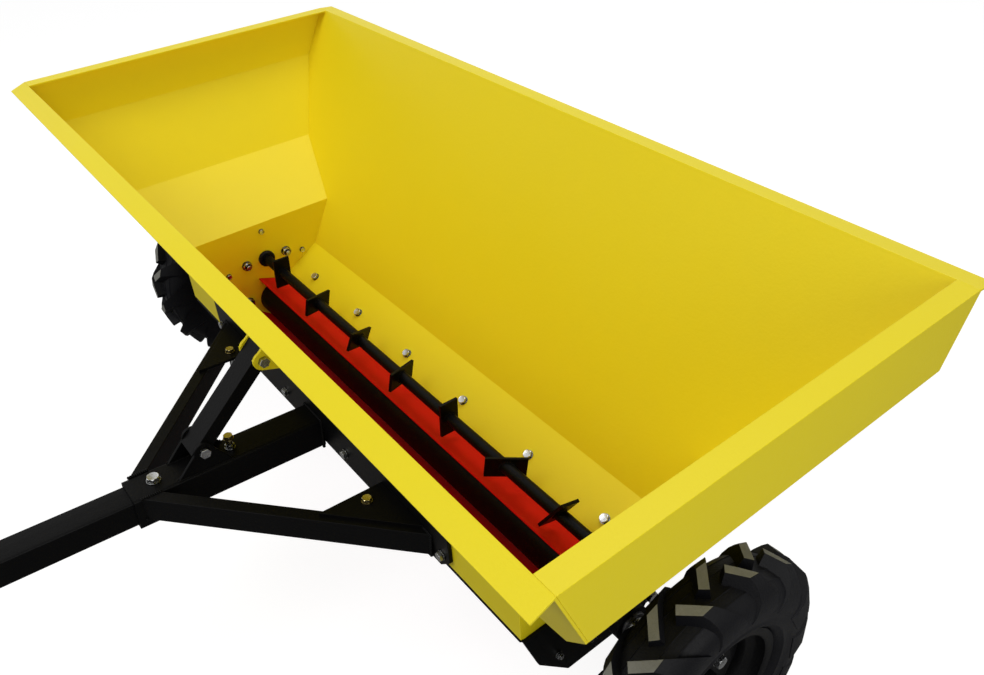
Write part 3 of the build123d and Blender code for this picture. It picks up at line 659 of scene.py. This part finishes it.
# Apron bolts, through the rear wall's foot and the lip plate under it
apronBolts = {"across": (88, 264, 440), "back": 48, "above": -380, "below": -520}
apronRow = [side * x for x in apronBolts["across"] for side in (1, -1)]
seatFasteners("apronBolts", hexHeads["middle"], [
    seatOn("hopper_rear", survey(x, apronBolts["back"], apronBolts["above"]), -upwards) for x in apronRow])
seatFasteners("apronNuts", lockNuts["middle"], [
    seatOn("lip_plate", survey(x, apronBolts["back"] + 4, apronBolts["below"]), upwards) for x in apronRow])

# End plates: bearing bolts come through them, and smaller ones hold the carriers
endPlateBolts = {"inner": 400, "bearing": [(-63, -403), (27, -403), (-76, -489)],
                 "small": [(-16, -339), (64, -415), (-105, -412)]}
sideways = Vector((1, 0, 0))


def throughEndPlates(places):
    seats = []
    for node, side in (("hopper_end_left", 1), ("hopper_end_right", -1)):
        for back, up in places:
            seats.append(seatOn(node, survey(side * endPlateBolts["inner"], back, up), sideways * side))
    return seats


seatFasteners("bearingNutsInside", lockNuts["large"], throughEndPlates(endPlateBolts["bearing"]))
seatFasteners("carrierBoltsInside", hexHeads["small"], throughEndPlates(endPlateBolts["small"]))

# Cross member, sleeve and gussets
frameBolts = {"crossAcross": (100, 362), "crossUp": -406, "sleeveBolt": 261, "clampBolt": 142, "clampStand": 9,
              "gussetAcross": 233, "gussetForward": 38, "gussetPlate": 5, "crossAhead": -400, "crossBehind": -120,
              "tail": {"radius": 4, "length": 46, "nutAt": 38}}
backwards = Vector((0, 1, 0))
crossRow = [side * x for x in frameBolts["crossAcross"] for side in (1, -1)]
seatFasteners("crossMemberBolts", hexHeads["middle"], [
    seatOn("cross_member", survey(x, frameBolts["crossAhead"], frameBolts["crossUp"]), backwards) for x in crossRow])
seatFasteners("sleeveBolt", hexHeads["large"], [(alongBar(frameBolts["sleeveBolt"]), barUp)])
seatFasteners("sleeveBoltNut", lockNuts["large"], [
    (alongBar(frameBolts["sleeveBolt"], -drawbarLine["sleeve"]), -barUp)])
seatFasteners("clampBoltNut", lockNuts["middle"], [(alongBar(frameBolts["clampBolt"]), barUp)])
clampBolt = joinPieces("clampBoltStem", [roundBar(4, 14, (0, 0, 12), 24)])
clampHead = copyTo(hexHeads["middle"], Matrix.Translation((0, 0, frameBolts["clampStand"] * 2 * mm)))
clampModel = joinPieces("clampModel", [clampBolt, clampHead])
seatFasteners("clampBoltHead", clampModel, [(alongBar(frameBolts["clampBolt"]), barUp)], finish="yellowZinc")
bpy.data.objects.remove(clampModel)
gussetSeats = [(alongBar(frameBolts["gussetForward"], frameBolts["gussetPlate"], x), barUp)
               for x in (frameBolts["gussetAcross"], -frameBolts["gussetAcross"])]
seatFasteners("gussetBolts", hexHeads["middle"], gussetSeats, finish="yellowZinc")
print("fasteners seated")

# Bearings: bolts outside, inner rings with their set screws on the left, rubber rings inside the end plates
bearingSizes = {"ears": [("agitator_bearing_left", -63, -403), ("agitator_bearing_left", 27, -403),
                         ("axle_bearing_left", -76, -489), ("axle_bearing_left", 40, -507)],
                "outside": 640, "ring": [(-6, 0), (4.2, 0), (5, 0.7)], "ringThick": 5.5, "ringEnd": 5,
                "seal": [(0, 17.5), (-5, 17.5), (-7, 15.5)], "sealBore": 10.4}
seatFasteners("bearingBoltsOutside", hexHeads["large"], [
    seatOn(node, survey(bearingSizes["outside"], back, up), -sideways) for node, back, up in bearingSizes["ears"]])
seatFasteners("carrierNutsOutside", lockNuts["small"], [
    seatOn(node, survey(side * bearingSizes["outside"], back, up), -sideways * side)
    for node, side in (("side_carrier_left", 1), ("side_carrier_right", -1))
    for back, up in endPlateBolts["small"] + [(-124, -504)]])


def modelInnerRing(name, node, radius, centreZ, body):
    centre = Vector((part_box(node)[1].x, axleY, centreZ))
    outer = radius + bearingSizes["ringThick"]
    outline = [(x, outer - inset) for x, inset in bearingSizes["ring"]]
    outline += [(bearingSizes["ringEnd"], radius + 0.3), (bearingSizes["ring"][0][0], radius + 0.3)]
    ring = turnedPiece(name, outline + outline[:1], centre, 48)
    screw = roundBar(2.2, 2.4, (0, 0, 0.4), 16)
    screw.data.transform(standOn(centre + Vector((2.2, 0, outer)) * mm, upwards))
    joined = joinPieces(name, [ring, screw])
    smoothShade(joined, 30)
    return finishPiece(joined, body, "plated_steel", finishes["darkSteel"])


modelInnerRing("axleInnerRing", "axle_bearing_left", 15, axleZ, "drive_axle")
modelInnerRing("agitatorInnerRing", "agitator_bearing_left", 10, shaftZ, "agitator")
for side in (1, -1):
    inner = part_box("roller")[1].x + 0.002
    outline = [(side * x, radius) for x, radius in bearingSizes["seal"]]
    outline += [(outline[-1][0], bearingSizes["sealBore"]), (0, bearingSizes["sealBore"])]
    seal = turnedPiece("shaftSealLeft" if side > 0 else "shaftSealRight", outline + outline[:1],
                       Vector((side * inner, axleY, shaftZ)), 48)
    smoothShade(seal, 30)
    finishPiece(seal, "frame", "tyre_rubber", finishes["tyreRubber"])

# Hubs: wheel bolts on the flange, a washer and a cross pin at the axle's end
hubSizes = {"bolts": 4, "circle": 42, "face": 8, "washer": [(0, 15.3), (0, 24), (2.6, 24), (3, 23.4), (3, 15.3)],
            "pinAt": 7, "pinRadius": 2.4, "pinLength": 42}


def modelHubFittings(name, side):
    body = rimBody[side]
    centre = Vector((side * wheelMiddle, axleY, axleZ))
    seats = []
    for step in range(hubSizes["bolts"]):
        turn = math.tau * (step + 0.5) / hubSizes["bolts"]
        out = Vector((0, math.cos(turn), math.sin(turn))) * hubSizes["circle"]
        seats.append((centre + (out + sideways * side * hubSizes["face"]) * mm, sideways * side))
    seatFasteners(name + "Bolts", hexHeads["large"], seats, body)
    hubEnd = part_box("hub_left")[1].x
    end = Vector((side * hubEnd, axleY, axleZ))
    outline = [(side * x, radius) for x, radius in hubSizes["washer"]]
    washer = turnedPiece(name + "Washer", outline + outline[:1], end, 48)
    pin = roundBar(hubSizes["pinRadius"], hubSizes["pinLength"], (0, 0, 0), 16)
    roundEdges(pin, 0.5)
    pin.data.transform(Matrix.Translation(end + sideways * side * hubSizes["pinAt"] * mm)
                       @ Matrix.Rotation(math.radians(35), 4, "X"))
    joined = joinPieces(name + "WasherAndPin", [washer, pin])
    smoothShade(joined, 30)
    finishPiece(joined, body, "plated_steel", finishes["whiteZinc"])


modelHubFittings("hubLeft", 1)
modelHubFittings("hubRight", -1)
print("bearings and hubs dressed")


# Weld beads: rows of overlapping drops along straight runs
def weldRun(start, end, size):
    drop = weldDrops[size]
    count = max(2, int((end - start).length / (drop["pitch"] * mm)))
    along = (end - start).normalized()
    pieces = []
    for step in range(count + 1):
        place = start.lerp(end, step / count)
        wobble = random.uniform(0.92, 1.08)
        matrix = standOn(place, along) @ Matrix.Diagonal((wobble, wobble, drop["squash"], 1))
        pieces.append(copyTo(weldModels[size], matrix))
    return pieces


weldDrops = {"fine": {"radius": 1.7, "pitch": 1.9, "squash": 0.8},
             "broad": {"radius": 2.8, "pitch": 2.8, "squash": 0.75}}
weldModels = {}
for size, drop in weldDrops.items():
    bpy.ops.object.select_all(action="DESELECT")
    bpy.ops.mesh.primitive_uv_sphere_add(segments=10, ring_count=6, radius=drop["radius"] * mm)
    weldModels[size] = settle(bpy.context.object)


def weldPiece(name, runs, body, slot, finish):
    drops = []
    for start, end, size in runs:
        drops += weldRun(start, end, size)
    bead = joinPieces(name, drops)
    smoothShade(bead, 80)
    return finishPiece(bead, body, slot, finishes[finish])


frameWelds = {"braceSide": 27.5, "braceTop": 275, "braceReach": 324, "braceWidth": 20, "braceHeight": 40,
              "sleeveHalf": 27.5, "off": 0.6, "cheekInside": 20.3, "cheekPlate": 5, "cheekRun": (148, 232),
              "earPlate": 5}


def braceRuns():
    runs = []
    lean = math.atan2(frameWelds["braceReach"] - frameWelds["braceSide"], frameWelds["braceTop"])
    off = frameWelds["off"]
    acrossHalf = frameWelds["braceWidth"] / 2 / math.cos(lean)
    alongHalf = frameWelds["braceWidth"] / 2 / math.sin(lean)
    for side in (1, -1):
        for up in (0, -frameWelds["braceHeight"]):
            left, right = frameWelds["braceReach"] - acrossHalf, frameWelds["braceReach"] + acrossHalf
            runs.append((alongBar(off, up, side * left), alongBar(off, up, side * right), "broad"))
            near, far = frameWelds["braceTop"] - alongHalf, frameWelds["braceTop"] + alongHalf
            reach = frameWelds["sleeveHalf"] + off
            runs.append((alongBar(near, up, side * reach), alongBar(far, up, side * reach), "broad"))
        for reach in (frameWelds["braceReach"] - acrossHalf, frameWelds["braceReach"] + acrossHalf):
            foot = alongBar(off, -frameWelds["braceHeight"], side * reach)
            runs.append((alongBar(off, 0, side * reach), foot, "broad"))
        half = frameWelds["sleeveHalf"]
        runs.append((alongBar(off, 0, side * half), alongBar(off, -drawbarLine["sleeve"], side * half), "broad"))
        for face in (0, frameWelds["cheekPlate"]):
            across = side * (frameWelds["cheekInside"] + face)
            first, last = frameWelds["cheekRun"]
            runs.append((alongBar(first, 0, across), alongBar(last, 0, across), "fine"))
    runs.append((alongBar(off, 0, -half), alongBar(off, 0, half), "broad"))
    return runs


weldPiece("frameWelds", braceRuns(), "frame", "black_paint", "blackCoat")


def earRuns():
    runs = []
    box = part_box("hopper_ears")
    for side in (1, -1):
        for face in (0, frameWelds["earPlate"]):
            across = side * (frameWelds["cheekInside"] + face)
            ends = []
            for share in (0.04, 0.96):
                z = box[0].z + (box[1].z - box[0].z) * share
                ends.append(seatOn("hopper_front", Vector((across * mm, box[0].y - 0.1, z)), backwards)[0])
            runs.append((ends[0], ends[1], "fine"))
    return runs


weldPiece("earWelds", earRuns(), "frame", "yellow_paint", "yellowCoat")

# Paddle welds: a ring of beads on both faces of each paddle, where the shaft passes through
paddleLook = {"thick": 5, "shaft": 10.4, "beads": 26}


def splitLoose(node):
    piece = bpy.data.objects.new(node, cadNodes[node].data.copy())
    scene.collection.objects.link(piece)
    faceOutwards(piece)
    selectOnly(piece)
    bpy.ops.mesh.separate(type="LOOSE")
    return list(bpy.context.selected_objects)


paddleDrops = []
for paddle in splitLoose("agitator_paddles"):
    corners = [vertex.co for vertex in paddle.data.vertices]
    largest = max(paddle.data.polygons, key=lambda face: face.area)
    normal = largest.normal.copy()
    middleX = sum(corner.x for corner in corners) / len(corners)
    if normal.x < 0:
        normal.negate()
    for face in (1, -1):
        for step in range(paddleLook["beads"]):
            turn = math.tau * step / paddleLook["beads"]
            out = Vector((0, math.cos(turn), math.sin(turn))) * paddleLook["shaft"]
            offset = face * paddleLook["thick"] / 2 / normal.x - (normal.y * out.y + normal.z * out.z) / normal.x
            place = Vector((middleX, axleY, shaftZ)) + (out + sideways * offset) * mm
            around = Vector((0, -math.sin(turn), math.cos(turn)))
            paddleDrops.append(copyTo(weldModels["fine"], standOn(place, around)))
    bpy.data.objects.remove(paddle)
paddleWelds = joinPieces("paddleWelds", paddleDrops)
smoothShade(paddleWelds, 80)
finishPiece(paddleWelds, "agitator", "black_paint", finishes["blackCoat"])
print("welds laid")

# Coupler: a pressed latch housing, its lever and two cross bolts
couplerSizes = {"middleBack": -1135, "boltsBack": (28, 66), "half": 26.5, "latch": (22, 46, 15),
                "lever": (14, 84, 4), "leverTilt": -5, "grip": (26, 16, 7), "gripTilt": -9, "pivot": (4, 30)}
couplerReach = (survey(0, couplerSizes["middleBack"], 0) - survey(0, drawbarLine["back"], 0)).length
couplerForward = couplerReach / mm / math.cos(barRise)
seatFasteners("couplerBolts", hexHeads["middle"], [
    (alongBar(couplerForward - back, -drawbarLine["sleeve"] / 2, couplerSizes["half"]), sideways)
    for back in couplerSizes["boltsBack"]])
seatFasteners("couplerNuts", lockNuts["middle"], [
    (alongBar(couplerForward - back, -drawbarLine["sleeve"] / 2, -couplerSizes["half"]), -sideways)
    for back in couplerSizes["boltsBack"]])


def blockAt(size, matrix, width=2.0):
    bpy.ops.object.select_all(action="DESELECT")
    bpy.ops.mesh.primitive_cube_add(size=1, scale=[extent * mm for extent in size])
    block = settle(bpy.context.object)
    block.data.transform(matrix)
    roundEdges(block, width, 3)
    return block


barTilt = Matrix.Rotation(-barRise, 4, "X")
topOfCoupler = -drawbarLine["sleeve"] / 2 + couplerSizes["half"]
latchHigh = couplerSizes["latch"][2]
housing = blockAt(couplerSizes["latch"], Matrix.Translation(
    alongBar(couplerForward + 20, topOfCoupler + latchHigh / 2)) @ barTilt, 4)
leverTurn = Matrix.Rotation(math.radians(couplerSizes["leverTilt"]), 4, "X")
gripTurn = Matrix.Rotation(math.radians(couplerSizes["gripTilt"]), 4, "X")
lever = blockAt(couplerSizes["lever"], Matrix.Translation(
    alongBar(couplerForward - 10, topOfCoupler + latchHigh + 4)) @ barTilt @ leverTurn, 1.5)
grip = blockAt(couplerSizes["grip"], Matrix.Translation(
    alongBar(couplerForward - 48, topOfCoupler + latchHigh + 9)) @ barTilt @ gripTurn, 3)
pivot = roundBar(*couplerSizes["pivot"], (0, 0, 0), 24, (0, math.pi / 2, 0))
roundEdges(pivot, 0.8)
pivot.data.transform(Matrix.Translation(alongBar(couplerForward + 24, topOfCoupler + latchHigh * 0.55)))
latch = joinPieces("couplerLatch", [housing, lever, grip, pivot])
finishPiece(latch, "frame", "black_paint", finishes["castCoat"])

# Parking leg: a clamp screw with a cross handle, a cap on the tube and a bead round its foot
legSizes = {"screw": 5, "screwLength": 34, "handle": 4, "handleLength": 62, "ball": 6.5, "cap": 17.6, "capHigh": 6,
            "clampUp": 14, "handleIn": 5, "collar": (9, 8), "handleTurn": 24, "footBeads": 44, "footReach": 17.4,
            "footUp": 6.4}
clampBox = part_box("leg_clamp")
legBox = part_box("parking_leg")
legMiddle = Vector(((legBox[0].x + legBox[1].x) / 2, (legBox[0].y + legBox[1].y) / 2, 0))
clampMiddleZ = (clampBox[0].z + clampBox[1].z) / 2
screwStart = Vector((clampBox[1].x - 0.002, legMiddle.y, clampMiddleZ + legSizes["clampUp"] * mm))
screwLong, lyingX = legSizes["screwLength"], (0, math.pi / 2, 0)
screw = roundBar(legSizes["screw"], screwLong, (screwLong / 2, 0, 0), 28, lyingX)
collarRing = roundBar(*legSizes["collar"], (legSizes["collar"][1] / 2, 0, 0), 32, lyingX)
handleOut = screwLong - legSizes["handleIn"]
handle = roundBar(legSizes["handle"], legSizes["handleLength"], (handleOut, 0, 0), 24)
knobs = []
for end in (1, -1):
    bpy.ops.object.select_all(action="DESELECT")
    bpy.ops.mesh.primitive_uv_sphere_add(segments=24, ring_count=14, radius=legSizes["ball"] * mm)
    knob = settle(bpy.context.object)
    knob.data.transform(Matrix.Translation(Vector((handleOut, 0, end * legSizes["handleLength"] / 2)) * mm))
    knobs.append(knob)
roundEdges(collarRing, 1)
clampScrew = joinPieces("legClampScrew", [screw, collarRing, handle] + knobs)
clampScrew.data.transform(Matrix.Translation(screwStart) @ Matrix.Rotation(math.radians(legSizes["handleTurn"]), 4, "X"))
smoothShade(clampScrew, 32)
finishPiece(clampScrew, "frame", "plated_steel", finishes["whiteZinc"])
cap = roundBar(legSizes["cap"], legSizes["capHigh"], (0, 0, legSizes["capHigh"] / 2 - 1), 48)
cap.data.transform(Matrix.Translation((legMiddle.x, legMiddle.y, legBox[1].z)))
roundEdges(cap, 2, 3)
cap.name = "legCap"
finishPiece(cap, "frame", "tyre_rubber", finishes["tyreRubber"])
footDrops = []
for step in range(legSizes["footBeads"]):
    turn = math.tau * step / legSizes["footBeads"]
    out = Vector((math.cos(turn), math.sin(turn), 0))
    place = legMiddle + out * legSizes["footReach"] * mm + upwards * legSizes["footUp"] * mm
    footDrops.append(copyTo(weldModels["broad"], standOn(place, out.cross(upwards))))
footBead = joinPieces("footBead", footDrops)
smoothShade(footBead, 80)
finishPiece(footBead, "frame", "black_paint", finishes["blackCoat"])

# Chain cover screws, nuts behind the cross member and under the gussets
coverSeats = [(-18, -375), (-18, -545), (26, -440), (-62, -440)]  # millimetres back and up in the survey
seatFasteners("coverScrews", hexHeads["small"], [
    seatOn("chain_cover", survey(-bearingSizes["outside"], back, up), sideways) for back, up in coverSeats])
seatFasteners("crossMemberNuts", lockNuts["middle"], [
    seatOn("floor_plate", survey(x, frameBolts["crossBehind"], frameBolts["crossUp"]), -backwards) for x in crossRow])
tail = frameBolts["tail"]
longBolt = joinPieces("longBolt", [
    roundBar(tail["radius"], tail["length"], (0, 0, tail["length"] / 2), 24),
    copyTo(lockNuts["middle"], Matrix.Translation((0, 0, tail["nutAt"] * mm))),
    copyTo(lockNuts["middle"], Matrix.Identity(4))])
seatFasteners("gussetBoltTails", longBolt, [
    (alongBar(frameBolts["gussetForward"], 0, x), -barUp)
    for x in (frameBolts["gussetAcross"], -frameBolts["gussetAcross"])])
bpy.data.objects.remove(longBolt)
for model in weldModels.values():
    bpy.data.objects.remove(model)
print("coupler, leg and cover dressed")

# Light and stage
lightPlan = {
    "key": {"place": (-0.2, -1.75, 3.3), "size": 2.2, "power": 43.5, "aim": (0, 0.3, 0.5)},
    "side": {"place": (2.3, 0.1, 1.1), "size": 1.6, "power": 13, "aim": (0.6, 0.2, 0.5)},
    "rear": {"place": (-0.3, 1.5, 3.3), "size": 1.6, "power": 24, "aim": (0, 0.4, 0.2)},
    "world": 0.34, "floorTone": 0.35, "floorGlow": 0.84,
}
for lampName in ("key", "side", "rear"):
    plan = lightPlan[lampName]
    lampData = bpy.data.lights.new(lampName, "AREA")
    lampData.shape = "DISK"
    lampData.size = plan["size"]
    lampData.energy = plan["power"]
    lamp = bpy.data.objects.new(lampName, lampData)
    scene.collection.objects.link(lamp)
    lamp.location = plan["place"]
    lamp.rotation_euler = (Vector(plan["aim"]) - lamp.location).to_track_quat("-Z", "Y").to_euler()

world = bpy.data.worlds.new("studio")
scene.world = world
world.use_nodes = True
worldTree = world.node_tree
background = worldTree.nodes["Background"]
background.inputs["Color"].default_value = (1, 1, 1, 1)
lightPath = worldTree.nodes.new("ShaderNodeLightPath")
seen = addMath(worldTree, "MAXIMUM", lightPath.outputs["Is Camera Ray"], lightPath.outputs["Is Transmission Ray"])
seen = addMath(worldTree, "MAXIMUM", seen, lightPath.outputs["Is Glossy Ray"])
dim = addMath(worldTree, "MULTIPLY", addMath(worldTree, "SUBTRACT", 1.0, seen), lightPlan["world"])
worldTree.links.new(addMath(worldTree, "ADD", seen, dim), background.inputs["Strength"])

bpy.ops.object.select_all(action="DESELECT")
bpy.ops.mesh.primitive_plane_add(size=24, location=(0, 0, 0))
floor = bpy.context.object
floor.name = "floor"
floorMaterial = bpy.data.materials.new("paleFloor")
floorMaterial.use_nodes = True
floorTree = floorMaterial.node_tree
floorTree.nodes.clear()
floorOut = floorTree.nodes.new("ShaderNodeOutputMaterial")
floorDiffuse = addNode(floorTree, "ShaderNodeBsdfDiffuse", Color=(*[lightPlan["floorTone"]] * 3, 1))
floorGlow = addNode(floorTree, "ShaderNodeEmission")
floorPath = floorTree.nodes.new("ShaderNodeLightPath")
floorSum = floorTree.nodes.new("ShaderNodeAddShader")
floorSeen = addMath(floorTree, "MULTIPLY", floorPath.outputs["Is Camera Ray"], lightPlan["floorGlow"])
floorTree.links.new(floorSeen, floorGlow.inputs["Strength"])
floorTree.links.new(floorDiffuse.outputs[0], floorSum.inputs[0])
floorTree.links.new(floorGlow.outputs[0], floorSum.inputs[1])
floorTree.links.new(floorSum.outputs[0], floorOut.inputs[0])
floor.data.materials.append(floorMaterial)

cameraPlan = {"place": (1.07213, -0.58488, 0.56720), "turn": (54.33195, 2.45130, 51.34314), "lens": 32.5252,
              "shift": (-0.016527, -0.020369)}
cameraData = bpy.data.cameras.new("camera")
cameraData.sensor_width = 36
cameraData.lens = cameraPlan["lens"]
cameraData.shift_x, cameraData.shift_y = cameraPlan["shift"]
camera = bpy.data.objects.new("camera", cameraData)
scene.collection.objects.link(camera)
camera.location = Vector(cameraPlan["place"]) + Vector((0, hopperY, rimZ))
camera.rotation_euler = [math.radians(angle) for angle in cameraPlan["turn"]]
scene.camera = camera
print("stage, lights and camera set")

for model in list(hexHeads.values()) + list(lockNuts.values()):
    bpy.data.objects.remove(model)
